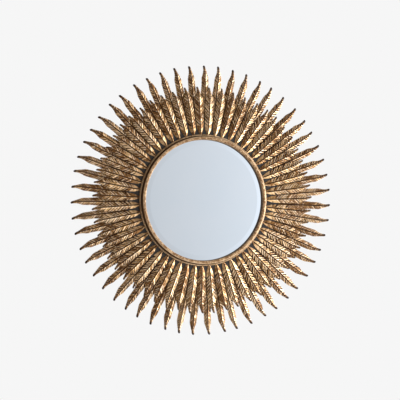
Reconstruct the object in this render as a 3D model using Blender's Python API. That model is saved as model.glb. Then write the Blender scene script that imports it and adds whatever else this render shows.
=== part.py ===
"""Sunburst wall mirror: two layers of metal feathers round a turned rim and a round mirror glass.

Metres, +Z up. The mirror faces -Y, and the wall is the plane y = 0. The origin is where the
wall screw's shank sits in the keyhole of the hanging plate. Depths are distances from the wall.
"""
import math

import bmesh
import bpy
from mathutils import Vector

# Clearances
CONTACT_GAP = 0.0003
LAYER_GAP = 0.0007
RIM_FEATHER_GAP = 0.0005

# Feathers: each layer has the same count, the short ones lie over the gaps of the long ones
FEATHER_COUNT = 55
FIRST_LONG_ANGLE = math.radians(1.0)
LONG_TIP_RADIUS = 0.4200
SHORT_TIP_RADIUS = 0.3520
LONG_SIDE_GAP = 0.0080
SHORT_SIDE_GAP = 0.0042
LONG_RIDGE_HEIGHT = 0.0060
SHORT_RIDGE_HEIGHT = 0.0062
TIP_SWEEP = 0.0045
TIP_SWEEP_LENGTH = 0.031
LONG_TIP_DRIFT = 0.0032
SHORT_TIP_DRIFT = 0.0024
LONG_LENGTH_SCATTER = 0.0024
SHORT_LENGTH_SCATTER = 0.0028
LONG_TIP_DIP = 0.0006
ANGLE_SCATTER = 0.3

# Back plate, black, with a raised seat that presses the glass against the rim's lip
PLATE_RADIUS = 0.2450
PLATE_THICKNESS = 0.0030
PLATE_STAND_OFF = 0.0094
SEAT_HEIGHT = 0.0073

# Ring that the roots of the long feathers are welded to, behind the back plate
ROOT_RING_THICKNESS = 0.0024
ROOT_RING_WIDTH = 0.0150
ROOT_RING_INSET = 0.0080
ROOT_END_INSET = 0.0030
LONG_RISE_LENGTH = 0.0140

# Glass
GLASS_THICKNESS = 0.0040
GLASS_BEVEL_WIDTH = 0.0150
GLASS_BEVEL_DEPTH = 0.0009
GLASS_COVER = 0.0055
GLASS_EDGE_GAP = 0.0005

# Rim, turned: a tall half-round band, a groove and a low bead outside it
RIM_SIGHT_RADIUS = 0.1870
BAND_SETBACK = 0.0008
BAND_WIDTH = 0.0102
BAND_RISE = 0.0041
BAND_SHOULDER_HEIGHT = 0.0080
GROOVE_WIDTH = 0.0014
GROOVE_DEPTH = 0.0022
BEAD_WIDTH = 0.0050
BEAD_HEIGHT = 0.0074
BEAD_RISE = 0.0026

# Hanging plate: a steel strip bent to a hat section, with a keyhole in its rear wall
HANGER_SHEET = 0.0020
HANGER_FACE_WIDTH = 0.0440
HANGER_FLANGE_WIDTH = 0.0140
HANGER_ABOVE_SLOT = 0.0095
HANGER_BELOW_MOUTH = 0.0085
HANGER_RING_CLEARANCE = 0.0168
KEYHOLE_SLOT_WIDTH = 0.0050
KEYHOLE_MOUTH_WIDTH = 0.0110
KEYHOLE_DROP = 0.0120

# Fineness of the round pieces
RIM_STEPS = 60
PLATE_STEPS = 60
ARC_STEPS = 5
BEAD_STEPS = 3
KEYHOLE_STEPS = 8
SHARP_ANGLE = math.radians(40)

# Depths that follow from the sizes above
PLATE_FRONT = PLATE_STAND_OFF + PLATE_THICKNESS
SHORT_BACK = PLATE_FRONT + CONTACT_GAP
LONG_BACK = SHORT_BACK - LAYER_GAP - LONG_RIDGE_HEIGHT
ROOT_RING_FRONT = PLATE_STAND_OFF - CONTACT_GAP
SEAT_FRONT = PLATE_FRONT + SEAT_HEIGHT
GLASS_BACK = SEAT_FRONT + CONTACT_GAP
GLASS_FRONT = GLASS_BACK + GLASS_THICKNESS
LIP_BACK = GLASS_FRONT + CONTACT_GAP
SHOULDER_DEPTH = LIP_BACK + BAND_SHOULDER_HEIGHT
RIM_BACK = PLATE_FRONT + CONTACT_GAP
BEAD_CREST = RIM_BACK + BEAD_HEIGHT

# Radii that follow from the sizes above
GLASS_RADIUS = RIM_SIGHT_RADIUS + GLASS_COVER
RABBET_RADIUS = GLASS_RADIUS + GLASS_EDGE_GAP
BAND_INNER = RIM_SIGHT_RADIUS + BAND_SETBACK
BAND_OUTER = BAND_INNER + BAND_WIDTH
BEAD_INNER = BAND_OUTER + GROOVE_WIDTH
RIM_RADIUS = BEAD_INNER + BEAD_WIDTH
SHORT_ROOT_RADIUS = RIM_RADIUS + RIM_FEATHER_GAP
ROOT_RING_OUTER = PLATE_RADIUS - ROOT_RING_INSET
ROOT_RING_INNER = ROOT_RING_OUTER - ROOT_RING_WIDTH

# The hanging plate's upper corners stay clear of the root ring, which sets how far the mirror's
# middle lies below the hanging screw
HANGER_TOP = KEYHOLE_SLOT_WIDTH / 2 + HANGER_ABOVE_SLOT
HANGER_HALF_WIDTH = HANGER_FACE_WIDTH / 2 + HANGER_FLANGE_WIDTH
HANGER_REACH = ROOT_RING_INNER - HANGER_RING_CLEARANCE
HANG_DROP = math.sqrt(HANGER_REACH ** 2 - HANGER_HALF_WIDTH ** 2) - HANGER_TOP

# A feather's outline from its tip inwards: share of the length, of the half width, of the ridge
SHORT_OUTLINE = (
    (0.000, 0.19, 0.50),
    (0.030, 0.25, 0.66),
    (0.090, 0.38, 0.78),
    (0.190, 0.72, 0.95),
    (0.260, 0.96, 1.00),
    (0.560, 1.00, 1.00),
    (0.790, 0.85, 1.00),
    (0.890, 0.69, 0.92),
    (1.000, 0.24, 0.60),
)
LONG_OUTLINE = (
    (0.000, 0.20, 0.50),
    (0.030, 0.29, 0.66),
    (0.085, 0.36, 0.78),
    (0.155, 0.55, 0.92),
    (0.235, 0.83, 1.00),
    (0.430, 0.90, 1.00),
    (0.540, 1.00, 1.00),
    (1.000, 0.82, 1.00),
)
LONG_ROOT_WIDTHS = (0.70, 0.50)
LONG_ROOT_RIDGES = (0.96, 0.78)

# Numbers that spread the small differences between feathers evenly
WOBBLE_INDEX_STEP = 12.9898
WOBBLE_SALT_STEP = 78.233
WOBBLE_SPREAD = 437.585453


def clear_scene():
    """Remove what the scene holds, so that the script gives the same result each run."""
    for item in list(bpy.data.objects):
        bpy.data.objects.remove(item, do_unlink=True)


def metal(name, color, roughness, metallic):
    """Return a plain Principled material."""
    material = bpy.data.materials.new(name)
    material.use_nodes = True
    shader = material.node_tree.nodes["Principled BSDF"]
    shader.inputs["Base Color"].default_value = (*color, 1.0)
    shader.inputs["Roughness"].default_value = roughness
    shader.inputs["Metallic"].default_value = metallic
    return material


def add_object(name, mesh_data, material, smooth=True):
    """Turn a bmesh into a named object with its faces pointing out."""
    bmesh.ops.recalc_face_normals(mesh_data, faces=mesh_data.faces)
    mesh = bpy.data.meshes.new(name)
    mesh_data.to_mesh(mesh)
    mesh_data.free()
    if smooth:
        mesh.shade_smooth()
        mesh.set_sharp_from_angle(angle=SHARP_ANGLE)
    item = bpy.data.objects.new(name, mesh)
    item.data.materials.append(material)
    bpy.context.scene.collection.objects.link(item)
    return item


def on_dial(angle, radius, side, depth):
    """A point at a clock angle from the top, a radius, a clockwise offset and a depth."""
    x = radius * math.sin(angle) + side * math.cos(angle)
    z = radius * math.cos(angle) - side * math.sin(angle)
    return Vector((x, -depth, z - HANG_DROP))


def wobble(index, salt):
    """A fixed number from -1 to 1 for a feather, which sets it slightly out of line by hand."""
    wave = math.sin(index * WOBBLE_INDEX_STEP + salt * WOBBLE_SALT_STEP) * WOBBLE_SPREAD
    return 2.0 * (wave - math.floor(wave)) - 1.0


def pitch_at(radius):
    """Distance from one feather's midrib to the next in its layer."""
    return 2.0 * math.pi * radius / FEATHER_COUNT


def sweep_at(distance_from_tip):
    """How far the tip bends anticlockwise, seen from the front."""
    share = max(0.0, 1.0 - distance_from_tip / TIP_SWEEP_LENGTH)
    return TIP_SWEEP * share * share


def half_width(stations, side_gap):
    """The greatest half width that keeps a side gap to the neighbours at every station."""
    return min((pitch_at(radius) - side_gap) / (2.0 * width) for radius, width, ridge in stations)


def short_stations():
    """Radius, share of the half width and share of the ridge, from the tip to the rim."""
    length = SHORT_TIP_RADIUS - SHORT_ROOT_RADIUS
    return [(SHORT_TIP_RADIUS - share * length, width, ridge) for share, width, ridge in SHORT_OUTLINE]


def long_stations():
    """The same for a long feather, whose root dips under the back plate to the root ring."""
    under_plate = PLATE_RADIUS + CONTACT_GAP
    full = under_plate + LONG_RISE_LENGTH
    length = LONG_TIP_RADIUS - full
    stations = [(LONG_TIP_RADIUS - share * length, width, ridge) for share, width, ridge in LONG_OUTLINE]
    low = (ROOT_RING_FRONT - LONG_BACK) / LONG_RIDGE_HEIGHT
    root = ROOT_RING_INNER + ROOT_END_INSET
    for radius, width, ridge in zip((under_plate, root), LONG_ROOT_WIDTHS, LONG_ROOT_RIDGES):
        stations.append((radius, width, ridge * low))
    return stations


def add_feather(mesh_data, stations, half, back, ridge_height, angle, drift, longer, dip):
    """Add one flat-backed feather with a ridge along its front, from sections at its stations."""
    tip_radius = stations[0][0]
    root_radius = stations[-1][0]
    length = tip_radius - root_radius
    loops = []
    for radius, width, ridge in stations:
        share = (radius - root_radius) / length
        place = radius + longer * share
        bend = drift * share * share - sweep_at(tip_radius - radius)
        low = back - dip * share
        left = on_dial(angle, place, bend - half * width, low)
        top = on_dial(angle, place, bend, low + ridge_height * ridge)
        right = on_dial(angle, place, bend + half * width, low)
        corners = [mesh_data.verts.new(point) for point in (left, top, right)]
        loops.append([mesh_data.edges.new((corners[i], corners[i - 1])) for i in range(3)])
        if len(loops) > 1:
            bmesh.ops.bridge_loops(mesh_data, edges=loops[-2] + loops[-1])
    for loop in (loops[0], loops[-1]):
        bmesh.ops.holes_fill(mesh_data, edges=loop, sides=3)


def turned(mesh_data, profile, steps, closed_ring):
    """Spin a profile of (radius, depth) points round the mirror's axis."""
    points = [mesh_data.verts.new((radius, -depth, -HANG_DROP)) for radius, depth in profile]
    edges = [mesh_data.edges.new((points[i], points[i + 1])) for i in range(len(points) - 1)]
    if closed_ring:
        edges.append(mesh_data.edges.new((points[-1], points[0])))
    bmesh.ops.spin(
        mesh_data, geom=points + edges, cent=(0.0, 0.0, -HANG_DROP), axis=(0.0, 1.0, 0.0),
        angle=2.0 * math.pi, steps=steps, use_merge=True, use_duplicate=False,
    )
    bmesh.ops.remove_doubles(mesh_data, verts=mesh_data.verts, dist=1e-6)


def half_round(inner, outer, base, rise, steps):
    """Points of a half-round moulding from its inner edge over the crest to its outer edge."""
    middle = 0.5 * (inner + outer)
    reach = 0.5 * (outer - inner)
    turns = [math.pi * i / steps for i in range(steps + 1)]
    return [(middle - reach * math.cos(turn), base + rise * math.sin(turn)) for turn in turns]


def build_short_feathers(material):
    """The front layer: each feather is its own piece, over the gap of two long ones."""
    stations = short_stations()
    half = half_width(stations, SHORT_SIDE_GAP)
    for index in range(FEATHER_COUNT):
        angle = FIRST_LONG_ANGLE + (index + 0.5) * 2.0 * math.pi / FEATHER_COUNT
        angle += ANGLE_SCATTER * SHORT_SIDE_GAP / SHORT_TIP_RADIUS * wobble(index, 1)
        drift = SHORT_TIP_DRIFT * wobble(index, 2)
        longer = SHORT_LENGTH_SCATTER * wobble(index, 3)
        mesh_data = bmesh.new()
        add_feather(
            mesh_data, stations, half, SHORT_BACK, SHORT_RIDGE_HEIGHT, angle, drift, longer, 0.0,
        )
        add_object(f"short_feather_{index + 1:02d}", mesh_data, material, smooth=False)


def build_long_feathers(material):
    """The back layer: long feathers welded at their roots to one ring behind the plate."""
    stations = long_stations()
    half = half_width(stations, LONG_SIDE_GAP)
    feathers = bmesh.new()
    for index in range(FEATHER_COUNT):
        angle = FIRST_LONG_ANGLE + index * 2.0 * math.pi / FEATHER_COUNT
        angle += ANGLE_SCATTER * LONG_SIDE_GAP / LONG_TIP_RADIUS * wobble(index, 4)
        drift = LONG_TIP_DRIFT * wobble(index, 5)
        longer = -LONG_LENGTH_SCATTER * abs(wobble(index, 6))
        add_feather(
            feathers, stations, half, LONG_BACK, LONG_RIDGE_HEIGHT, angle, drift, longer,
            LONG_TIP_DIP,
        )
    crown = add_object("long_feather_crown", feathers, material, smooth=False)
    back = ROOT_RING_FRONT - ROOT_RING_THICKNESS
    profile = (
        (ROOT_RING_INNER, back),
        (ROOT_RING_INNER, ROOT_RING_FRONT),
        (ROOT_RING_OUTER, ROOT_RING_FRONT),
        (ROOT_RING_OUTER, back),
    )
    ring_mesh = bmesh.new()
    turned(ring_mesh, profile, FEATHER_COUNT, closed_ring=True)
    ring = add_object("root_ring_cutter", ring_mesh, material)
    ring.hide_render = True
    ring.display_type = "WIRE"
    weld = crown.modifiers.new("weld ring", "BOOLEAN")
    weld.operation = "UNION"
    weld.solver = "EXACT"
    weld.object = ring


def build_back_plate(material):
    """A round black plate with a raised seat behind the glass."""
    profile = (
        (0.0, SEAT_FRONT),
        (GLASS_RADIUS, SEAT_FRONT),
        (GLASS_RADIUS, PLATE_FRONT),
        (PLATE_RADIUS, PLATE_FRONT),
        (PLATE_RADIUS, PLATE_STAND_OFF),
        (0.0, PLATE_STAND_OFF),
    )
    mesh_data = bmesh.new()
    turned(mesh_data, profile, PLATE_STEPS, closed_ring=False)
    add_object("back_plate", mesh_data, material)


def build_glass(material):
    """The mirror glass, with a wide shallow bevel round its front edge."""
    profile = (
        (0.0, GLASS_FRONT),
        (RIM_SIGHT_RADIUS - GLASS_BEVEL_WIDTH, GLASS_FRONT),
        (GLASS_RADIUS, GLASS_FRONT - GLASS_BEVEL_DEPTH),
        (GLASS_RADIUS, GLASS_BACK),
        (0.0, GLASS_BACK),
    )
    mesh_data = bmesh.new()
    turned(mesh_data, profile, RIM_STEPS, closed_ring=False)
    add_object("mirror_glass", mesh_data, material)


def build_rim(material):
    """The turned rim: lip over the glass, half-round band, groove and outer bead."""
    groove_bottom = BEAD_CREST - BEAD_RISE - GROOVE_DEPTH
    profile = [(RABBET_RADIUS, RIM_BACK), (RABBET_RADIUS, LIP_BACK), (RIM_SIGHT_RADIUS, LIP_BACK)]
    profile += half_round(BAND_INNER, BAND_OUTER, SHOULDER_DEPTH, BAND_RISE, ARC_STEPS)
    profile += [(BAND_OUTER, groove_bottom), (BEAD_INNER, groove_bottom)]
    profile += half_round(BEAD_INNER, RIM_RADIUS, BEAD_CREST - BEAD_RISE, BEAD_RISE, BEAD_STEPS)
    profile.append((RIM_RADIUS, RIM_BACK))
    mesh_data = bmesh.new()
    turned(mesh_data, profile, RIM_STEPS, closed_ring=True)
    add_object("rim", mesh_data, material)


def keyhole_outline():
    """Corners of the keyhole: a narrow slot above a round mouth, the screw's shank at the origin."""
    slot = KEYHOLE_SLOT_WIDTH / 2
    mouth = KEYHOLE_MOUTH_WIDTH / 2
    over = [math.pi * i / KEYHOLE_STEPS for i in range(KEYHOLE_STEPS + 1)]
    corners = [(slot * math.cos(turn), slot * math.sin(turn)) for turn in over]
    start = math.acos(slot / mouth)
    sweep = math.pi + 2.0 * start
    round_mouth = [math.pi - start + sweep * i / (2 * KEYHOLE_STEPS) for i in range(2 * KEYHOLE_STEPS + 1)]
    corners += [(mouth * math.cos(turn), mouth * math.sin(turn) - KEYHOLE_DROP) for turn in round_mouth]
    return corners


def prism(corners, low, high, axis):
    """Extrude a flat outline between two levels along Y or Z."""
    mesh_data = bmesh.new()
    if axis == "Y":
        points = [mesh_data.verts.new((a, low, b)) for a, b in corners]
        travel = Vector((0.0, high - low, 0.0))
    else:
        points = [mesh_data.verts.new((a, b, low)) for a, b in corners]
        travel = Vector((0.0, 0.0, high - low))
    face = mesh_data.faces.new(points)
    grown = bmesh.ops.extrude_face_region(mesh_data, geom=[face], use_keep_orig=True)
    moved = [item for item in grown["geom"] if isinstance(item, bmesh.types.BMVert)]
    bmesh.ops.translate(mesh_data, verts=moved, vec=travel)
    return mesh_data


def build_hanging_plate(material):
    """A hat-section steel strip on the back plate, with the keyhole that takes the wall screw."""
    face = HANGER_FACE_WIDTH / 2
    inside = face - HANGER_SHEET
    front = PLATE_STAND_OFF - CONTACT_GAP
    fold = front - HANGER_SHEET
    half = [
        (face, 0.0), (face, -fold), (HANGER_HALF_WIDTH, -fold),
        (HANGER_HALF_WIDTH, -front), (inside, -front), (inside, -HANGER_SHEET),
    ]
    mirrored = [(-x, y) for x, y in reversed(half)]
    bottom = -KEYHOLE_DROP - KEYHOLE_MOUTH_WIDTH / 2 - HANGER_BELOW_MOUTH
    hat = prism(half + mirrored, bottom, HANGER_TOP, "Z")
    strip = add_object("hanging_plate", hat, material, smooth=False)
    keyhole = prism(keyhole_outline(), -2 * HANGER_SHEET, HANGER_SHEET, "Y")
    hole = add_object("keyhole_cutter", keyhole, material)
    hole.hide_render = True
    hole.display_type = "WIRE"
    cut = strip.modifiers.new("keyhole", "BOOLEAN")
    cut.operation = "DIFFERENCE"
    cut.solver = "EXACT"
    cut.object = hole


def main():
    clear_scene()
    gold_front = metal("antique gold, front feathers", (0.45, 0.30, 0.15), 0.42, 0.9)
    gold_back = metal("antique gold, back feathers", (0.40, 0.26, 0.13), 0.45, 0.9)
    gold_rim = metal("antique gold, rim", (0.38, 0.26, 0.15), 0.38, 0.9)
    black = metal("black satin plate", (0.02, 0.02, 0.025), 0.45, 0.3)
    mirror = metal("silvered glass", (0.80, 0.84, 0.88), 0.03, 1.0)
    steel = metal("zinc-plated steel", (0.55, 0.55, 0.57), 0.35, 1.0)
    build_back_plate(black)
    build_glass(mirror)
    build_rim(gold_rim)
    build_long_feathers(gold_back)
    build_short_feathers(gold_front)
    build_hanging_plate(steel)


main()
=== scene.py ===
"""Looks of the sunburst wall mirror: gilded feathers, turned rim, silvered glass and its black back.

Metres, +Z up, the mirror faces -Y. Depths are distances from the wall, the plane y = 0.
"""
import math

import bmesh
import bpy
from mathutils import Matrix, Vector


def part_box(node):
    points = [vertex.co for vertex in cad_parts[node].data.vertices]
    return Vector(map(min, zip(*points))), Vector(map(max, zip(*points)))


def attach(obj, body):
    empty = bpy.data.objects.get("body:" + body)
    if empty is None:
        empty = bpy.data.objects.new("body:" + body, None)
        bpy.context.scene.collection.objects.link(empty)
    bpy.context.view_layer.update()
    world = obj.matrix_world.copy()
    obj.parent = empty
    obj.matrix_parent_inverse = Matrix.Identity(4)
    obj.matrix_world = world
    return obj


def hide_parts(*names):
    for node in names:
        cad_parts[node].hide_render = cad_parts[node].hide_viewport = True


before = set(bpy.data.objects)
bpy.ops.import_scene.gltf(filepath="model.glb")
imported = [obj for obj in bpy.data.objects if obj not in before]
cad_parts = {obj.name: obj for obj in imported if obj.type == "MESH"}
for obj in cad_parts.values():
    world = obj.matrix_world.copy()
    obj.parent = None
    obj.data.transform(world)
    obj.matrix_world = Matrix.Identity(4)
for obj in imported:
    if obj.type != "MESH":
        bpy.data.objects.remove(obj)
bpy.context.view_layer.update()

# Places read from the solids
RIM_LOW, RIM_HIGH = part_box("rim")
GLASS_LOW, GLASS_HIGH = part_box("mirror_glass")
PLATE_LOW, PLATE_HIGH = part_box("back_plate")
AXIS_HEIGHT = 0.5 * (RIM_LOW.z + RIM_HIGH.z)
RIM_RADIUS = 0.5 * (RIM_HIGH.z - RIM_LOW.z)
RIM_BACK = -RIM_HIGH.y
RIM_CREST = -RIM_LOW.y
GLASS_RADIUS = 0.5 * (GLASS_HIGH.z - GLASS_LOW.z)
GLASS_BACK = -GLASS_HIGH.y
GLASS_FRONT = -GLASS_LOW.y
PLATE_RADIUS = 0.5 * (PLATE_HIGH.z - PLATE_LOW.z)
PLATE_STAND_OFF = -PLATE_HIGH.y
SEAT_FRONT = -PLATE_LOW.y

# Clearances, as in the solids
CONTACT_GAP = 0.0003
LAYER_GAP = 0.0007
RIM_FEATHER_GAP = 0.0005
GLASS_EDGE_GAP = 0.0005

# Feather sizes, as in the solids
FEATHER_COUNT = 55
FIRST_LONG_ANGLE = math.radians(1.0)
LONG_TIP_RADIUS = 0.4200
SHORT_TIP_RADIUS = 0.3520
LONG_SIDE_GAP = 0.0080
SHORT_SIDE_GAP = 0.0042
LONG_RIDGE_HEIGHT = 0.0060
SHORT_RIDGE_HEIGHT = 0.0062
TIP_SWEEP = 0.0045
TIP_SWEEP_LENGTH = 0.031
LONG_TIP_DRIFT = 0.0032
SHORT_TIP_DRIFT = 0.0024
LONG_LENGTH_SCATTER = 0.0024
SHORT_LENGTH_SCATTER = 0.0028
LONG_TIP_DIP = 0.0006
ANGLE_SCATTER = 0.3

# Back plate
PLATE_THICKNESS = 0.0030
PLATE_FRONT = PLATE_STAND_OFF + PLATE_THICKNESS
PLATE_CHAMFER = 0.0006
SEAT_CHAMFER = 0.0005

# Root ring behind the plate, and how the long feathers reach it
ROOT_RING_THICKNESS = 0.0024
ROOT_RING_INSET = 0.0080
ROOT_RING_WIDTH = 0.0150
ROOT_RING_CHAMFER = 0.0004
ROOT_RING_OUTER = PLATE_RADIUS - ROOT_RING_INSET
ROOT_RING_INNER = ROOT_RING_OUTER - ROOT_RING_WIDTH
ROOT_RING_FRONT = PLATE_STAND_OFF - CONTACT_GAP
ROOT_END_INSET = 0.0030
ROOT_END_RADIUS = ROOT_RING_INNER + ROOT_END_INSET
LONG_RISE_LENGTH = 0.0140

# Backs of the two layers
SHORT_BACK = PLATE_FRONT + CONTACT_GAP
LONG_BACK = SHORT_BACK - LAYER_GAP - LONG_RIDGE_HEIGHT

# Glass
SIGHT_RADIUS = 0.1870
GLASS_BEVEL_WIDTH = 0.0150
GLASS_BEVEL_DEPTH = 0.0009
BEVEL_LINE_HALF = 0.0006
BEVEL_LINE_DROP = 0.00003

# Rim profile
LIP_EDGE = 0.0012
BAND_SETBACK = 0.0008
BAND_WIDTH = 0.0102
BAND_RISE = 0.0041
BAND_CREST_POWER = 0.5
GROOVE_WIDTH = 0.0014
GROOVE_DEPTH = 0.0022
GROOVE_CORNER_WIDTH = 0.0004
GROOVE_CORNER_RISE = 0.0005
BEAD_HEIGHT = 0.0074
BEAD_RISE = 0.0026
BAND_INNER = SIGHT_RADIUS + BAND_SETBACK
BAND_OUTER = BAND_INNER + BAND_WIDTH
BEAD_INNER = BAND_OUTER + GROOVE_WIDTH

# Rim marks: how far the wax and painted shade reach round the groove, where the painted shade on the
# lip beside the glass starts in from the band, and the turning lines
GROOVE_WAX_AND_SHADE_REACH = 0.0006
SIGHT_SHADE_INSET = 0.0002
TURNING_LINE = 0.0021
TURNING_TONE = 1.6

# Fineness: steps round the turned pieces, and steps over the band and the bead
RIM_STEPS = 288
GLASS_STEPS = 240
PLATE_STEPS = 240
ROOT_RING_STEPS = 220
BAND_STEPS = 18
BEAD_STEPS = 8

# The angle past which an edge stays sharp, and a length too small to count
SHARP_ANGLE = math.radians(38.0)
TINY = 1e-6

# A feather's outline from its tip inwards: share of the length, of the half width, of the ridge
SHORT_OUTLINE = (
    (0.000, 0.19, 0.50),
    (0.030, 0.25, 0.66),
    (0.090, 0.38, 0.78),
    (0.190, 0.72, 0.95),
    (0.260, 0.96, 1.00),
    (0.560, 1.00, 1.00),
    (0.790, 0.85, 1.00),
    (0.890, 0.69, 0.92),
    (1.000, 0.24, 0.60),
)
LONG_OUTLINE = (
    (0.000, 0.20, 0.50),
    (0.030, 0.29, 0.66),
    (0.085, 0.36, 0.78),
    (0.155, 0.55, 0.92),
    (0.235, 0.83, 1.00),
    (0.320, 0.86, 1.00),
    (0.430, 0.90, 1.00),
    (0.540, 1.00, 1.00),
    (1.000, 0.82, 1.00),
)
LONG_ROOT_WIDTHS = (0.70, 0.50)
LONG_ROOT_RIDGES = (0.96, 0.78)

# Barbs: the rows of each one as shares of its pitch, the points across as shares of the half width
BARB_PITCH = 0.0084
BARB_PITCH_SCATTER = 0.22
BARB_PHASES = (0.0, 0.09, 0.27, 0.58, 0.88)
BARB_SKEW = 0.65
BARB_SLANT = 1.2
BARB_SLANT_SCATTER = 0.14
BARB_CROWN = 0.04
BARB_DEPTH = 0.0013
BARB_DEPTH_SCATTER = 0.4
BARB_CUT_RISE = (0.02, 0.22)
CROSS_SHARES = (0.12, 0.34, 0.60, 0.84)

# Splits: some gaps between barbs are cut deeper, from part of the way out to the edge
SPLIT_SHARE = 0.28
SPLIT_DEPTH = 0.0030
SPLIT_DEPTH_LEVEL = 0.8
SPLIT_DEPTH_SCATTER = 0.2
SPLIT_REACH = 0.45
SPLIT_REACH_SCATTER = 0.5
SPLIT_RISE = (0.8, 1.1)

# Teeth along the edges, and the edges themselves
TOOTH_DEPTH = 0.0009
TOOTH_AT_BARB = 0.8
TOOTH_AT_SPLIT = 1.5
EDGE_THICKNESS = 0.0010
EDGE_RIDGE_SHARE = 0.6
EDGE_LEAST_SHARE = 0.4
EDGE_SEARCH_TURNS = 6

# Groove along the quill
QUILL_GROOVE_HALF = 0.0018
QUILL_GROOVE_DEPTH = 0.0020
QUILL_GROOVE_SHARE = 0.30

# Rounded tips
TIP_ROUND = 0.0022
TIP_ROWS = (1.0, 0.6, 0.3, 0.1, 0.0)
TIP_PHASE = 0.5
TIP_LEAST = 0.02
TIP_RIDGE_BASE = 0.45
TIP_RIDGE_REST = 0.55

# Smooth ends: lengths without barbs, and lengths over which the slant and the carving fade
SHORT_NIB_LENGTH = 0.0045
LONG_NIB_LENGTH = 0.008
SHORT_SMOOTH_ROOT = 0.024
LONG_SMOOTH_ROOT = 0.004
SLANT_END = 0.002
SLANT_ROOT_FADE = 0.010
SLANT_TIP_FADE = 0.012
CARVED_ROOT_FADE = 0.012

# Shares of the smooth root and of the nib between which the carving fades and the nib darkens
CARVED_ROOT_START = 0.3
CARVED_NIB_START = 0.6
CARVED_NIB_END = 1.7
DARK_NIB_START = 0.5
DARK_NIB_END = 1.8

# Marks that the carving leaves on the feathers, and that the gilding reads
MARKS = ("recess", "crest", "nib", "tone")
# The recess mark darkens the gilt with wax that is also painted shade in the barb cuts, the quill
# groove and at the feet of the edges; the crest mark pales it with rubbed leaf that is also a painted
# highlight.
FULL_WAX_AND_SHADE_LOSS = 0.0011
EDGE_WAX_AND_SHADE = 0.5
QUILL_WAX_AND_SHADE = 0.42
CREST_FADE = 0.4
PLAIN_CREST = 0.35
FEATHER_TONE = 0.6

# Numbers that spread the small differences evenly, and a salt for each kind and each layer
WOBBLE_INDEX_STEP = 12.9898
WOBBLE_SALT_STEP = 78.233
WOBBLE_SPREAD = 437.585453
SHORT_ANGLE_SALT = 1
SHORT_DRIFT_SALT = 2
SHORT_LENGTH_SALT = 3
LONG_ANGLE_SALT = 4
LONG_DRIFT_SALT = 5
LONG_LENGTH_SALT = 6
BARB_PITCH_SALT = 11
BARB_SLANT_SALT = 13
SPLIT_SALT = 17
SPLIT_REACH_SALT = 19
SPLIT_DEPTH_SALT = 23
BARB_DEPTH_SALT = 29
FEATHER_TONE_SALT = 31
TURNING_SALT = 43
SHORT_LAYER_SALT = 1000
LONG_LAYER_SALT = 2000

# Steps that keep the barbs of one feather, of the next and of its other side apart
PITCH_FEATHER_STEP = 61
CUT_FEATHER_STEP = 7
CUT_BARB_STEP = 131
RIGHT_CUT_STEP = 53
LEFT_TONE_STEP = 500

# Gilding: shares of the gold in deep leaf, of wax in pits and stains, of relief, and the lacquer
DEEP_LEAF = (0.50, 0.39, 0.27)
PIT_WAX = 0.55
STAIN_WAX = 0.50
WAX_DULLING = 0.25
FLAKE_RELIEF = 0.6
SPECK_RELIEF = 0.4
COAT_WEIGHT = 0.15
COAT_ROUGHNESS = 0.28

# Other finishes: the two colours that each one mixes, the black's gloss and the steel's brushing
# The silver's blue is a painted reflection colour that stands in for the bluish surroundings the mirror
# reflects.
SILVER_AND_REFLECTION_DEEP = (0.605, 0.710, 0.845)
SILVER_AND_REFLECTION_PALE = (0.623, 0.720, 0.850)
BLACK_CLEAN = (0.016, 0.014, 0.014)
BLACK_DUSTY = (0.036, 0.033, 0.032)
BLACK_SPECULAR = 0.3
ZINC_BRIGHT = (0.58, 0.58, 0.60)
ZINC_DULL = (0.44, 0.43, 0.42)
ZINC_BRUSHING = (900.0, 900.0, 40.0)

# Camera: where the photograph was taken from
IMAGE_PIXELS = 400
LENS = 180.0
SENSOR = 36.0
CAMERA_DISTANCE = 6.22
CAMERA_TURN = math.radians(15.3)
AXIS_PIXEL = (202.7, 200.2)
TIP_DEPTH = 0.008
FARTHEST_SEEN = 60.0

# Studio light: soft lights by their turn to the right, lift above level (degrees) and power
SOFT_LIGHTS = (
    (60, -20, 2.60),
    (60, 6, 4.00),
    (90, -15, 1.70),
    (95, 15, 2.10),
    (0, 5, 0.43),
    (30, 0, 0.08),
    (-33, 8, 0.22),
)
SOFT_LIGHT_FOCUS = 8.0
SOFT_LIGHT_COLOR = (1.0, 0.99, 0.97)
FILL_COLOR = (1.0, 0.80, 0.60)
FILL_STRENGTH = 0.27
SURROUND_COLOR = (0.922, 0.922, 0.922)
# Softboxes: place about the mirror's middle, size and power
SOFTBOXES = (((1.3, -0.3, -0.25), 0.8, 12.0), ((0.1, -0.75, -1.10), 0.9, 4.6))

# Floor: a disc, and how far it lies below the mirror's middle
FLOOR_RADIUS = 2.6
FLOOR_DROP = 1.35
FLOOR_STEPS = 96
FLOOR_COLOR = (0.85, 0.85, 0.84)
FLOOR_ROUGHNESS = 0.8


class Layer:
    """The sizes of one layer of feathers.

    The tip is a radius. The half is the half width at its widest, and the ridge is the height of
    the quill above the back. The stations give a radius and the shares of both there, from the tip
    to the root. The back is a depth, and the dip is how much nearer the wall the tip lies. The nib
    and the smooth root are lengths without barbs.
    """

    def __init__(self, salt, tip, stations, half, back, ridge, nib, smooth_root, dip):
        self.salt = salt
        self.tip = tip
        self.stations = stations
        self.half = half
        self.back = back
        self.ridge = ridge
        self.nib = nib
        self.smooth_root = smooth_root
        self.dip = dip


def wobble(index, salt):
    """A fixed number from -1 to 1, for the small differences of work done by hand."""
    wave = math.sin(index * WOBBLE_INDEX_STEP + salt * WOBBLE_SALT_STEP) * WOBBLE_SPREAD
    return 2.0 * (wave - math.floor(wave)) - 1.0


def chance(index, salt):
    """A fixed number from 0 to 1."""
    return 0.5 + 0.5 * wobble(index, salt)


def smooth(low, high, value):
    """0 below low, 1 above high, and an even curve between."""
    share = min(1.0, max(0.0, (value - low) / (high - low)))
    return share * share * (3.0 - 2.0 * share)


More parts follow.
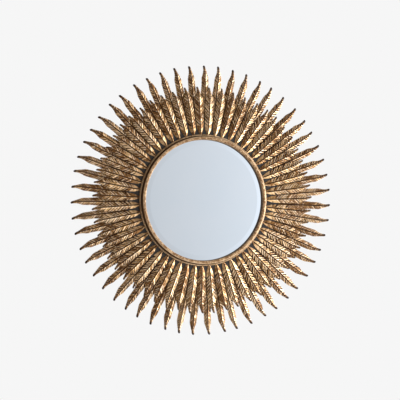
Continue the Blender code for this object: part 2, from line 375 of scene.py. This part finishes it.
def on_dial(angle, radius, side, depth):
    """A point at a clock angle from the top, a radius, a clockwise offset and a depth."""
    x = radius * math.sin(angle) + side * math.cos(angle)
    z = radius * math.cos(angle) - side * math.sin(angle)
    return Vector((x, -depth, z + AXIS_HEIGHT))


def sweep_at(distance_from_tip):
    """How far the tip bends anticlockwise, seen from the front."""
    share = max(0.0, 1.0 - distance_from_tip / TIP_SWEEP_LENGTH)
    return TIP_SWEEP * share * share


def pitch_at(radius):
    """Distance from one feather's quill to the next in its layer."""
    return 2.0 * math.pi * radius / FEATHER_COUNT


def between(stations, radius):
    """Share of the half width and of the ridge at a radius, on a smooth curve through the stations."""
    last = len(stations) - 1
    spot = next((i for i in range(last) if stations[i + 1][0] <= radius), last - 1)
    ends = [stations[min(last, max(0, spot + i))] for i in (-1, 0, 1, 2)]
    span = ends[1][0] - ends[2][0]
    share = min(1.0, max(0.0, (ends[1][0] - radius) / span))
    before = max(TINY, ends[0][0] - ends[2][0])
    after = max(TINY, ends[1][0] - ends[3][0])
    found = []
    for column in (1, 2):
        values = [end[column] for end in ends]
        leave = (values[2] - values[0]) * span / before
        arrive = (values[3] - values[1]) * span / after
        a = 2.0 * values[1] - 2.0 * values[2] + leave + arrive
        b = -3.0 * values[1] + 3.0 * values[2] - 2.0 * leave - arrive
        found.append(((a * share + b) * share + leave) * share + values[1])
    return found


def widest_half(stations, side_gap):
    """The half width that leaves a gap between neighbours where they come closest."""
    return min((pitch_at(radius) - side_gap) / (2.0 * width) for radius, width, ridge in stations)


def short_layer():
    """The front layer, from the rim to the short tips."""
    tip = SHORT_TIP_RADIUS
    root = RIM_RADIUS + RIM_FEATHER_GAP
    stations = [(tip - share * (tip - root), width, ridge) for share, width, ridge in SHORT_OUTLINE]
    return Layer(
        salt=SHORT_LAYER_SALT, tip=tip, stations=stations, half=widest_half(stations, SHORT_SIDE_GAP),
        back=SHORT_BACK, ridge=SHORT_RIDGE_HEIGHT, nib=SHORT_NIB_LENGTH,
        smooth_root=SHORT_SMOOTH_ROOT, dip=0.0,
    )


def long_layer():
    """The back layer, from the root ring to the long tips."""
    tip = LONG_TIP_RADIUS
    under_plate = PLATE_RADIUS + CONTACT_GAP
    full = under_plate + LONG_RISE_LENGTH
    stations = [(tip - share * (tip - full), width, ridge) for share, width, ridge in LONG_OUTLINE]
    low = (ROOT_RING_FRONT - LONG_BACK) / LONG_RIDGE_HEIGHT
    for radius, width, ridge in zip((under_plate, ROOT_END_RADIUS), LONG_ROOT_WIDTHS, LONG_ROOT_RIDGES):
        stations.append((radius, width, ridge * low))
    return Layer(
        salt=LONG_LAYER_SALT, tip=tip, stations=stations, half=widest_half(stations, LONG_SIDE_GAP),
        back=LONG_BACK, ridge=LONG_RIDGE_HEIGHT, nib=LONG_NIB_LENGTH,
        smooth_root=LONG_SMOOTH_ROOT, dip=LONG_TIP_DIP,
    )


def barb_rows(layer, index):
    """Rows from the root to the tip: radius on the quill, phase in the barb and the barb's number."""
    rows = []
    place = layer.stations[-1][0]
    number = 0
    while place < layer.tip - TIP_ROUND:
        spread = wobble(index * PITCH_FEATHER_STEP + number, BARB_PITCH_SALT)
        pitch = BARB_PITCH * (1.0 + BARB_PITCH_SCATTER * spread)
        for phase in BARB_PHASES:
            if place + phase * pitch < layer.tip - TIP_ROUND:
                rows.append((place + phase * pitch, phase, number))
        place += pitch
        number += 1
    rows += [(layer.tip - share * TIP_ROUND, TIP_PHASE, number) for share in TIP_ROWS]
    return rows


def carve_feather(layer, index, angle, drift, longer):
    """Shape a grid, closed into a tube, as a feather with a grooved quill and slanting barbs."""
    root = layer.stations[-1][0]
    length = layer.tip - root
    rows = barb_rows(layer, index + layer.salt)
    # The halves share the quill's point, and one point on the back and the first again close the tube
    half_points = len(half_section(layer, root, 0.0, 0))
    per_row = 2 * half_points + 1
    mesh_data = bmesh.new()
    bmesh.ops.create_grid(mesh_data, x_segments=len(rows) - 1, y_segments=per_row - 1, size=1.0)
    marks = [mesh_data.verts.layers.float.new(name) for name in MARKS]
    feather_tone = FEATHER_TONE * wobble(index, FEATHER_TONE_SALT + layer.salt)
    order = sorted(mesh_data.verts, key=lambda vert: (round(vert.co.x, 6), round(vert.co.y, 6)))
    for row, (place, phase, number) in enumerate(rows):
        seed = index * CUT_FEATHER_STEP + number * CUT_BARB_STEP + layer.salt
        left = half_section(layer, place, phase, seed)
        right = half_section(layer, place, phase, seed + RIGHT_CUT_STEP)
        section = [(spot, -side, height, *wear_and_highlight) for spot, side, height, *wear_and_highlight in reversed(left)]
        section += right[1:]
        section.append((place, 0.0, 0.0, 0.0, 0.0))
        section.append(section[0])
        for vert, (spot, side, height, recess, crest) in zip(order[row * per_row:], section):
            share = (spot - root) / length
            bend = drift * share * share - sweep_at(layer.tip - spot)
            depth = layer.back - layer.dip * share + height
            vert.co = on_dial(angle, spot + longer * share, bend + side, depth)
            nib = 1.0 - smooth(DARK_NIB_START * layer.nib, DARK_NIB_END * layer.nib, layer.tip - spot)
            barb = number + (LEFT_TONE_STEP if side < 0.0 else 0)
            tone = feather_tone + wobble(barb, index + layer.salt)
            for layer_mark, value in zip(marks, (recess, crest, nib, tone)):
                vert[layer_mark] = value
    bmesh.ops.remove_doubles(mesh_data, verts=mesh_data.verts, dist=TINY)
    ends = [edge for edge in mesh_data.edges if edge.is_boundary]
    bmesh.ops.holes_fill(mesh_data, edges=ends, sides=0)
    return mesh_data


def edge_width(layer, place, slant):
    """Half width where a slanting row that leaves the quill at a radius meets the edge."""
    edge_place = place
    for turn in range(EDGE_SEARCH_TURNS):
        width = layer.half * between(layer.stations, min(layer.tip, edge_place))[0]
        edge_place = place + slant * width
    return width


def half_section(layer, place, phase, seed):
    """One row from the quill to the bottom of the edge: radius, offset, height, recess and crest."""
    from_root = place - layer.stations[-1][0]
    from_tip = layer.tip - place
    slant = BARB_SLANT * (1.0 + BARB_SLANT_SCATTER * wobble(seed, BARB_SLANT_SALT))
    at_root = smooth(SLANT_END, layer.smooth_root + SLANT_ROOT_FADE, from_root)
    slant *= at_root * smooth(SLANT_END, SLANT_TIP_FADE, from_tip)
    swell = math.sin(math.pi * phase ** BARB_SKEW)
    carved = smooth(
        CARVED_ROOT_START * layer.smooth_root, layer.smooth_root + CARVED_ROOT_FADE, from_root,
    )
    carved *= smooth(layer.nib * CARVED_NIB_START, layer.nib * CARVED_NIB_END, from_tip)
    blunt = min(1.0, from_tip / TIP_ROUND)
    close = math.sqrt(max(TIP_LEAST, 1.0 - (1.0 - blunt) ** 2))
    width = edge_width(layer, place, slant) * close
    ridge = layer.ridge * between(layer.stations, min(layer.tip, place))[1]
    ridge *= TIP_RIDGE_BASE + TIP_RIDGE_REST * close
    split = chance(seed, SPLIT_SALT) < SPLIT_SHARE
    reach = SPLIT_REACH + SPLIT_REACH_SCATTER * chance(seed, SPLIT_REACH_SALT)
    cut = BARB_DEPTH * (1.0 + BARB_DEPTH_SCATTER * wobble(seed, BARB_DEPTH_SALT))
    if split:
        cut = SPLIT_DEPTH * (SPLIT_DEPTH_LEVEL + SPLIT_DEPTH_SCATTER * wobble(seed, SPLIT_DEPTH_SALT))
    tooth = TOOTH_DEPTH * carved * (1.0 - swell) * (TOOTH_AT_SPLIT if split else TOOTH_AT_BARB)
    groove_half = min(QUILL_GROOVE_HALF, QUILL_GROOVE_SHARE * width)
    groove = QUILL_GROOVE_DEPTH * groove_half / QUILL_GROOVE_HALF
    edge = min(EDGE_THICKNESS, EDGE_RIDGE_SHARE * ridge)
    points = [(place, 0.0, ridge - groove, 1.0, 0.0)]
    for share in (0.0, *CROSS_SHARES, 1.0):
        side = groove_half + share * (width - groove_half)
        if share == 1.0:
            side -= tooth
        fall = side / width
        height = edge + (ridge - edge) * (1.0 - fall) * (1.0 + BARB_CROWN * fall)
        depth = smooth(*BARB_CUT_RISE, share)
        if split:
            depth *= smooth(SPLIT_RISE[0] - reach, SPLIT_RISE[1] - reach, share)
        loss = cut * carved * depth * (1.0 - swell)
        height = max(EDGE_LEAST_SHARE * edge, height - loss)
        # The recess darkens the gilt: wax in the cuts that is also painted shade there, in the quill
        # groove and at the foot of the edge.
        recess = min(1.0, loss / FULL_WAX_AND_SHADE_LOSS)
        if share == 0.0:
            recess = max(recess, QUILL_WAX_AND_SHADE)
        # The crest pales the gilt: rubbed leaf that is also a painted highlight on the barb crests and
        # the smooth ends.
        crest = carved * swell * (1.0 - CREST_FADE * share) + PLAIN_CREST * (1.0 - carved)
        points.append((place + slant * side, side, height, recess, crest))
    points.append((place + slant * width, width - tooth, 0.0, EDGE_WAX_AND_SHADE, 0.0))
    return points


def finish_piece(name, mesh_data, material, nodes):
    """Turn a bmesh into a piece that rides on the mirror's one body and stands for its solids."""
    bmesh.ops.recalc_face_normals(mesh_data, faces=mesh_data.faces)
    mesh = bpy.data.meshes.new(name)
    mesh_data.to_mesh(mesh)
    mesh_data.free()
    mesh.shade_smooth()
    mesh.set_sharp_from_angle(angle=SHARP_ANGLE)
    mesh.materials.append(material)
    piece = bpy.data.objects.new(name, mesh)
    bpy.context.scene.collection.objects.link(piece)
    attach(piece, "root")
    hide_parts(*nodes)


def make_short_feathers(material):
    """The front layer of feathers, one for each gap of the back layer."""
    layer = short_layer()
    for index in range(FEATHER_COUNT):
        angle = FIRST_LONG_ANGLE + (index + 0.5) * 2.0 * math.pi / FEATHER_COUNT
        angle += ANGLE_SCATTER * SHORT_SIDE_GAP / layer.tip * wobble(index, SHORT_ANGLE_SALT)
        drift = SHORT_TIP_DRIFT * wobble(index, SHORT_DRIFT_SALT)
        longer = SHORT_LENGTH_SCATTER * wobble(index, SHORT_LENGTH_SALT)
        mesh_data = carve_feather(layer, index, angle, drift, longer)
        node = f"short_feather_{index + 1:02d}"
        finish_piece(node + "_gilt", mesh_data, material, [node])


def make_long_feathers(material):
    """The back layer of feathers, which are only ever shortened."""
    layer = long_layer()
    for index in range(FEATHER_COUNT):
        angle = FIRST_LONG_ANGLE + index * 2.0 * math.pi / FEATHER_COUNT
        angle += ANGLE_SCATTER * LONG_SIDE_GAP / layer.tip * wobble(index, LONG_ANGLE_SALT)
        drift = LONG_TIP_DRIFT * wobble(index, LONG_DRIFT_SALT)
        longer = -LONG_LENGTH_SCATTER * abs(wobble(index, LONG_LENGTH_SALT))
        mesh_data = carve_feather(layer, index, angle, drift, longer)
        name = f"long_feather_{index + 1:02d}_gilt"
        finish_piece(name, mesh_data, material, ["long_feather_crown"])


def turned(profile, steps, closed_ring):
    """Spin a profile of (radius, depth) points round the mirror's axis."""
    mesh_data = bmesh.new()
    points = [mesh_data.verts.new((radius, -depth, AXIS_HEIGHT)) for radius, depth in profile]
    edges = [mesh_data.edges.new((points[i], points[i + 1])) for i in range(len(points) - 1)]
    if closed_ring:
        edges.append(mesh_data.edges.new((points[-1], points[0])))
    bmesh.ops.spin(
        mesh_data, geom=points + edges, cent=(0.0, 0.0, AXIS_HEIGHT), axis=(0.0, 1.0, 0.0),
        angle=2.0 * math.pi, steps=steps, use_merge=True, use_duplicate=False,
    )
    bmesh.ops.remove_doubles(mesh_data, verts=mesh_data.verts, dist=TINY)
    return mesh_data


def half_round(inner, outer, base, rise, steps, crest_power=1.0):
    """Points of a moulding from edge to edge over its crest, which a power under 1 makes flatter."""
    middle = 0.5 * (inner + outer)
    reach = 0.5 * (outer - inner)
    turns = [math.pi * i / steps for i in range(steps + 1)]
    return [
        (middle - reach * math.cos(turn), base + rise * math.sin(turn) ** crest_power) for turn in turns
    ]


def make_rim(material):
    """The turned rim: lip, half-round band, groove and outer bead."""
    shoulder = RIM_CREST - BAND_RISE
    lip_back = GLASS_FRONT + CONTACT_GAP
    bead_base = RIM_BACK + BEAD_HEIGHT - BEAD_RISE
    groove = bead_base - GROOVE_DEPTH
    corner = groove + GROOVE_CORNER_RISE
    rabbet = GLASS_RADIUS + GLASS_EDGE_GAP
    profile = [(rabbet, RIM_BACK), (rabbet, lip_back), (SIGHT_RADIUS, lip_back)]
    profile.append((SIGHT_RADIUS, lip_back + LIP_EDGE))
    profile += half_round(BAND_INNER, BAND_OUTER, shoulder, BAND_RISE, BAND_STEPS, BAND_CREST_POWER)
    profile += [(BAND_OUTER, corner), (BAND_OUTER + GROOVE_CORNER_WIDTH, groove)]
    profile += [(BEAD_INNER - GROOVE_CORNER_WIDTH, groove), (BEAD_INNER, corner)]
    profile += half_round(BEAD_INNER, RIM_RADIUS, bead_base, BEAD_RISE, BEAD_STEPS)
    profile.append((RIM_RADIUS, RIM_BACK))
    mesh_data = turned(profile, RIM_STEPS, closed_ring=True)
    recess_mark = mesh_data.verts.layers.float.new("recess")
    crest_mark = mesh_data.verts.layers.float.new("crest")
    tone_mark = mesh_data.verts.layers.float.new("tone")
    for vert in mesh_data.verts:
        radius = math.hypot(vert.co.x, vert.co.z - AXIS_HEIGHT)
        # The groove gets wax and painted shade; the lip beside the glass gets painted shade.
        in_groove = BAND_OUTER - GROOVE_WAX_AND_SHADE_REACH < radius < BEAD_INNER + GROOVE_WAX_AND_SHADE_REACH
        at_sight = radius < BAND_INNER - SIGHT_SHADE_INSET
        vert[recess_mark] = 1.0 if in_groove or at_sight else 0.0
        # The bead is painted pale all over as painted light, and the band pales toward its top with
        # rubbed leaf and a painted highlight.
        vert[crest_mark] = 1.0 if radius > BEAD_INNER else smooth(shoulder, RIM_CREST, -vert.co.y)
        vert[tone_mark] = TURNING_TONE * wobble(math.floor(radius / TURNING_LINE), TURNING_SALT)
    finish_piece("rim_gilt", mesh_data, material, ["rim"])


def make_glass(material):
    """The mirror glass with its bevel."""
    bevel_line = SIGHT_RADIUS - GLASS_BEVEL_WIDTH
    profile = [
        (0.0, GLASS_FRONT),
        (bevel_line - BEVEL_LINE_HALF, GLASS_FRONT),
        (bevel_line + BEVEL_LINE_HALF, GLASS_FRONT - BEVEL_LINE_DROP),
        (GLASS_RADIUS, GLASS_FRONT - GLASS_BEVEL_DEPTH),
        (GLASS_RADIUS, GLASS_BACK),
        (0.0, GLASS_BACK),
    ]
    mesh_data = turned(profile, GLASS_STEPS, closed_ring=False)
    finish_piece("mirror_glass_silvered", mesh_data, material, ["mirror_glass"])


def make_back_plate(material):
    """The black plate with its raised seat."""
    profile = [
        (0.0, SEAT_FRONT),
        (GLASS_RADIUS - SEAT_CHAMFER, SEAT_FRONT),
        (GLASS_RADIUS, SEAT_FRONT - SEAT_CHAMFER),
        (GLASS_RADIUS, PLATE_FRONT),
        (PLATE_RADIUS - PLATE_CHAMFER, PLATE_FRONT),
        (PLATE_RADIUS, PLATE_FRONT - PLATE_CHAMFER),
        (PLATE_RADIUS, PLATE_STAND_OFF + PLATE_CHAMFER),
        (PLATE_RADIUS - PLATE_CHAMFER, PLATE_STAND_OFF),
        (0.0, PLATE_STAND_OFF),
    ]
    mesh_data = turned(profile, PLATE_STEPS, closed_ring=False)
    finish_piece("back_plate_black", mesh_data, material, ["back_plate"])


def make_root_ring(material):
    """The ring that the long feathers' roots are welded to."""
    back = ROOT_RING_FRONT - ROOT_RING_THICKNESS
    profile = [
        (ROOT_RING_INNER, back + ROOT_RING_CHAMFER),
        (ROOT_RING_INNER, ROOT_RING_FRONT),
        (ROOT_RING_OUTER, ROOT_RING_FRONT),
        (ROOT_RING_OUTER, back + ROOT_RING_CHAMFER),
        (ROOT_RING_OUTER - ROOT_RING_CHAMFER, back),
        (ROOT_RING_INNER + ROOT_RING_CHAMFER, back),
    ]
    mesh_data = turned(profile, ROOT_RING_STEPS, closed_ring=True)
    finish_piece("root_ring_gilt", mesh_data, material, ["long_feather_crown"])


def feed(tree, socket, value):
    """Set a node's input to a plain value, or link another node's output to it."""
    if isinstance(value, bpy.types.NodeSocket):
        tree.links.new(value, socket)
    else:
        socket.default_value = value


def node_of(tree, kind, **inputs):
    """Add a node and feed its inputs by name."""
    node = tree.nodes.new(kind)
    for name, value in inputs.items():
        feed(tree, node.inputs[name], value)
    return node


def noise(tree, coordinates, scale, detail=4.0):
    """A noise pattern's value."""
    made = node_of(
        tree, "ShaderNodeTexNoise", Vector=coordinates, Scale=scale, Detail=detail, Roughness=0.6,
    )
    return made.outputs["Fac"]


def ramp(tree, value, low, high):
    """Stretch a value so that low gives 0 and high gives 1."""
    made = node_of(tree, "ShaderNodeMapRange", Value=value)
    made.interpolation_type = "SMOOTHSTEP"
    made.inputs["From Min"].default_value = low
    made.inputs["From Max"].default_value = high
    return made.outputs["Result"]


def figure(tree, kind, first, second):
    """The sum, product or another figure of two values."""
    made = tree.nodes.new("ShaderNodeMath")
    made.operation = kind
    feed(tree, made.inputs[0], first)
    feed(tree, made.inputs[1], second)
    return made.outputs["Value"]


def sway(tree, base, pattern, spread):
    """A base value plus a pattern times its spread."""
    return figure(tree, "ADD", base, figure(tree, "MULTIPLY", pattern, spread))


def blend_colors(tree, share, first, second):
    """Mix two colours, each a plain colour or a socket."""
    made = tree.nodes.new("ShaderNodeMix")
    made.data_type = "RGBA"
    for name, value in (("Factor_Float", share), ("A_Color", first), ("B_Color", second)):
        socket = next(item for item in made.inputs if item.identifier == name)
        feed(tree, socket, (*value, 1.0) if isinstance(value, tuple) else value)
    return next(item for item in made.outputs if item.identifier == "Result_Color")


def mark(tree, name):
    """The value of a piece's own attribute."""
    made = tree.nodes.new("ShaderNodeAttribute")
    made.attribute_name = name
    return made.outputs["Fac"]


def emboss(tree, shader, height, strength, distance):
    """Give a finish fine relief from a pattern."""
    bump = node_of(tree, "ShaderNodeBump", Height=height, Strength=strength, Distance=distance)
    tree.links.new(bump.outputs["Normal"], shader.inputs["Normal"])


def new_material(name):
    """A material with its shader and Object coordinates."""
    material = bpy.data.materials.new(name)
    material.use_nodes = True
    tree = material.node_tree
    shader = tree.nodes["Principled BSDF"]
    coordinates = tree.nodes.new("ShaderNodeTexCoord").outputs["Object"]
    return material, tree, shader, coordinates


def gilt(name, gold, pale, patina_and_shade, wear_and_highlight, roughness, metal):
    """Antique gold leaf on carved metal: brown wax in the recesses, dark enough to be painted shade
    too, and leaf rubbed pale on the crests, pale enough to be a painted highlight too.
    """
    material, tree, shader, place = new_material(name)
    clouds = noise(tree, place, scale=38.0)
    flakes = noise(tree, place, scale=210.0, detail=5.0)
    specks = noise(tree, place, scale=640.0, detail=3.0)
    recess, crest, nib, tone = [mark(tree, word) for word in MARKS]
    deep = tuple(part * share for part, share in zip(gold, DEEP_LEAF))
    tint = sway(tree, clouds, tone, spread=0.14)
    leaf = blend_colors(tree, ramp(tree, tint, low=0.38, high=0.60), deep, gold)
    worn = sway(tree, flakes, tone, spread=0.07)
    # Pale leaf on the crests: partly rubbing wear, partly a painted highlight.
    rubbed_and_highlight = figure(tree, "MULTIPLY", crest, ramp(tree, worn, low=0.44, high=0.60))
    leaf = blend_colors(tree, figure(tree, "MULTIPLY", rubbed_and_highlight, wear_and_highlight), leaf, pale)
    pits = ramp(tree, specks, low=0.58, high=0.68)
    stain = ramp(tree, worn, low=0.53, high=0.40)
    # Dark wax where the recess mark is high: wax in the hollows and painted shade in the grooves and
    # along the edges.
    settled_wax_and_shade = ramp(tree, recess, low=0.10, high=0.62)
    wax_and_shade = figure(tree, "MAXIMUM", settled_wax_and_shade, figure(tree, "MULTIPLY", pits, PIT_WAX))
    wax_and_shade = figure(tree, "MAXIMUM", wax_and_shade, nib)
    wax_and_shade = figure(tree, "MAXIMUM", wax_and_shade, figure(tree, "MULTIPLY", stain, STAIN_WAX))
    color = blend_colors(tree, wax_and_shade, leaf, patina_and_shade)
    tree.links.new(color, shader.inputs["Base Color"])
    dulled = figure(tree, "MULTIPLY", wax_and_shade, WAX_DULLING)
    shine = figure(tree, "MULTIPLY", metal, figure(tree, "SUBTRACT", 1.0, dulled))
    tree.links.new(shine, shader.inputs["Metallic"])
    rough = sway(tree, roughness, flakes, spread=0.14)
    rough = sway(tree, rough, wax_and_shade, spread=0.20)
    tree.links.new(rough, shader.inputs["Roughness"])
    shader.inputs["Coat Weight"].default_value = COAT_WEIGHT
    shader.inputs["Coat Roughness"].default_value = COAT_ROUGHNESS
    relief = sway(tree, figure(tree, "MULTIPLY", flakes, FLAKE_RELIEF), specks, spread=SPECK_RELIEF)
    emboss(tree, shader, relief, strength=0.45, distance=0.0008)
    return material


def silvered_glass():
    """Mirror silver tinted blue as a painted reflection colour, with a trace of wiping marks."""
    material, tree, shader, place = new_material("silvered glass")
    haze = noise(tree, place, scale=6.0, detail=6.0)
    streaks = noise(tree, place, scale=24.0, detail=2.0)
    tint = blend_colors(tree, ramp(tree, haze, low=0.3, high=0.7), SILVER_AND_REFLECTION_DEEP, SILVER_AND_REFLECTION_PALE)
    tree.links.new(tint, shader.inputs["Base Color"])
    shader.inputs["Metallic"].default_value = 1.0
    rough = sway(tree, base=0.012, pattern=ramp(tree, streaks, low=0.5, high=0.8), spread=0.02)
    tree.links.new(rough, shader.inputs["Roughness"])
    return material


def black_satin():
    """Black satin paint with a fine orange peel and a little dust."""
    material, tree, shader, place = new_material("black satin paint")
    dust = noise(tree, place, scale=90.0, detail=5.0)
    peel = noise(tree, place, scale=900.0, detail=2.0)
    color = blend_colors(tree, ramp(tree, dust, low=0.45, high=0.75), BLACK_CLEAN, BLACK_DUSTY)
    tree.links.new(color, shader.inputs["Base Color"])
    rough = sway(tree, base=0.34, pattern=dust, spread=0.2)
    tree.links.new(rough, shader.inputs["Roughness"])
    shader.inputs["Specular IOR Level"].default_value = BLACK_SPECULAR
    emboss(tree, shader, peel, strength=0.15, distance=0.0003)
    return material


def zinc_steel():
    """Zinc-plated steel with brushed streaks and a few dull spots."""
    material, tree, shader, place = new_material("zinc-plated steel")
    stretch = node_of(tree, "ShaderNodeMapping", Vector=place, Scale=ZINC_BRUSHING)
    streaks = noise(tree, stretch.outputs["Vector"], scale=1.0, detail=3.0)
    spots = noise(tree, place, scale=120.0)
    color = blend_colors(tree, ramp(tree, spots, low=0.4, high=0.7), ZINC_BRIGHT, ZINC_DULL)
    tree.links.new(color, shader.inputs["Base Color"])
    shader.inputs["Metallic"].default_value = 1.0
    rough = sway(tree, base=0.28, pattern=streaks, spread=0.22)
    tree.links.new(rough, shader.inputs["Roughness"])
    emboss(tree, shader, streaks, strength=0.12, distance=0.0003)
    return material


def put_camera():
    """The camera, to the mirror's left at its own height, square to the photograph's frame."""
    data = bpy.data.cameras.new("camera")
    data.lens = LENS
    data.sensor_width = SENSOR
    data.clip_end = FARTHEST_SEEN
    camera = bpy.data.objects.new("camera", data)
    bpy.context.scene.collection.objects.link(camera)
    back = Vector((-math.sin(CAMERA_TURN), -math.cos(CAMERA_TURN), 0.0))
    right = Vector((math.cos(CAMERA_TURN), -math.sin(CAMERA_TURN), 0.0))
    per_pixel = CAMERA_DISTANCE * SENSOR / (LENS * IMAGE_PIXELS)
    aim = Vector((0.0, -TIP_DEPTH, AXIS_HEIGHT))
    aim -= right * (AXIS_PIXEL[0] - IMAGE_PIXELS / 2) * per_pixel
    aim.z += (AXIS_PIXEL[1] - IMAGE_PIXELS / 2) * per_pixel
    camera.location = aim + back * CAMERA_DISTANCE
    camera.rotation_euler = (math.pi / 2, 0.0, -CAMERA_TURN)
    bpy.context.scene.camera = camera


def soft_light(tree, direction, turn, lift, power):
    """The strength of one soft light in each direction, greatest toward the light itself."""
    toward = tree.nodes.new("ShaderNodeVectorMath")
    toward.operation = "DOT_PRODUCT"
    tree.links.new(direction, toward.inputs[0])
    toward.inputs[1].default_value = (
        math.sin(turn) * math.cos(lift), -math.cos(turn) * math.cos(lift), math.sin(lift),
    )
    lobe = figure(tree, "MAXIMUM", toward.outputs["Value"], 0.0)
    return figure(tree, "MULTIPLY", figure(tree, "POWER", lobe, SOFT_LIGHT_FOCUS), power)


def light_studio():
    """A pale studio: soft lights, most of them at the right, and a white surround for the camera."""
    world = bpy.data.worlds.new("studio")
    bpy.context.scene.world = world
    world.use_nodes = True
    tree = world.node_tree
    tree.nodes.clear()
    direction = tree.nodes.new("ShaderNodeTexCoord").outputs["Generated"]
    strength = 0.0
    for turn, lift, power in SOFT_LIGHTS:
        lobe = soft_light(tree, direction, math.radians(turn), math.radians(lift), power)
        strength = figure(tree, "ADD", lobe, strength)
    soft = node_of(tree, "ShaderNodeBackground", Color=(*SOFT_LIGHT_COLOR, 1.0), Strength=strength)
    fill = node_of(tree, "ShaderNodeBackground", Color=(*FILL_COLOR, 1.0), Strength=FILL_STRENGTH)
    lit = tree.nodes.new("ShaderNodeAddShader")
    tree.links.new(soft.outputs[0], lit.inputs[0])
    tree.links.new(fill.outputs[0], lit.inputs[1])
    white = node_of(tree, "ShaderNodeBackground", Color=(*SURROUND_COLOR, 1.0), Strength=1.0)
    seen = tree.nodes.new("ShaderNodeLightPath").outputs["Is Camera Ray"]
    mixed = tree.nodes.new("ShaderNodeMixShader")
    tree.links.new(seen, mixed.inputs[0])
    tree.links.new(lit.outputs[0], mixed.inputs[1])
    tree.links.new(white.outputs[0], mixed.inputs[2])
    output = tree.nodes.new("ShaderNodeOutputWorld")
    tree.links.new(mixed.outputs[0], output.inputs["Surface"])
    bpy.context.scene.view_settings.view_transform = "Standard"


def hang_softboxes():
    """Two softboxes that face the mirror's middle, one at its right and one below it."""
    for number, (place, size, power) in enumerate(SOFTBOXES):
        data = bpy.data.lights.new(f"softbox {number + 1}", "AREA")
        data.shape = "SQUARE"
        data.size = size
        data.energy = power
        box = bpy.data.objects.new(data.name, data)
        bpy.context.scene.collection.objects.link(box)
        box.location = (place[0], place[1], AXIS_HEIGHT + place[2])
        aim = Vector((0.0, 0.0, AXIS_HEIGHT)) - box.location
        box.rotation_euler = aim.to_track_quat("-Z", "Y").to_euler()
        box.visible_camera = False


def lay_floor():
    """A plain pale floor below the mirror, under the photograph's lower edge."""
    mesh_data = bmesh.new()
    bmesh.ops.create_circle(mesh_data, cap_ends=True, radius=FLOOR_RADIUS, segments=FLOOR_STEPS)
    bmesh.ops.translate(mesh_data, verts=mesh_data.verts, vec=(0.0, 0.0, AXIS_HEIGHT - FLOOR_DROP))
    mesh = bpy.data.meshes.new("floor")
    mesh_data.to_mesh(mesh)
    mesh_data.free()
    material = bpy.data.materials.new("pale floor")
    material.use_nodes = True
    shader = material.node_tree.nodes["Principled BSDF"]
    shader.inputs["Base Color"].default_value = (*FLOOR_COLOR, 1.0)
    shader.inputs["Roughness"].default_value = FLOOR_ROUGHNESS
    mesh.materials.append(material)
    floor = bpy.data.objects.new("floor", mesh)
    bpy.context.scene.collection.objects.link(floor)


def main():
    """Set up the studio, and dress every piece of the mirror."""
    put_camera()
    light_studio()
    hang_softboxes()
    lay_floor()
    gold_front = gilt(
        "gilt, front feathers", gold=(0.76, 0.470, 0.195), pale=(1.0, 0.90, 0.74),
        patina_and_shade=(0.028, 0.009, 0.002), wear_and_highlight=0.80, roughness=0.40, metal=1.0,
    )
    gold_back = gilt(
        "gilt, back feathers", gold=(0.73, 0.445, 0.182), pale=(1.0, 0.88, 0.72),
        patina_and_shade=(0.026, 0.008, 0.002), wear_and_highlight=0.80, roughness=0.40, metal=1.0,
    )
    gold_rim = gilt(
        "gilt, rim", gold=(0.43, 0.275, 0.135), pale=(0.56, 0.42, 0.28),
        patina_and_shade=(0.110, 0.052, 0.020), wear_and_highlight=0.75, roughness=0.46, metal=0.55,
    )
    make_back_plate(black_satin())
    make_glass(silvered_glass())
    make_rim(gold_rim)
    make_root_ring(gold_back)
    make_long_feathers(gold_back)
    make_short_feathers(gold_front)
    steel = zinc_steel()
    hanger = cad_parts["hanging_plate"]
    hanger.data.materials.clear()
    hanger.data.materials.append(steel)


main()
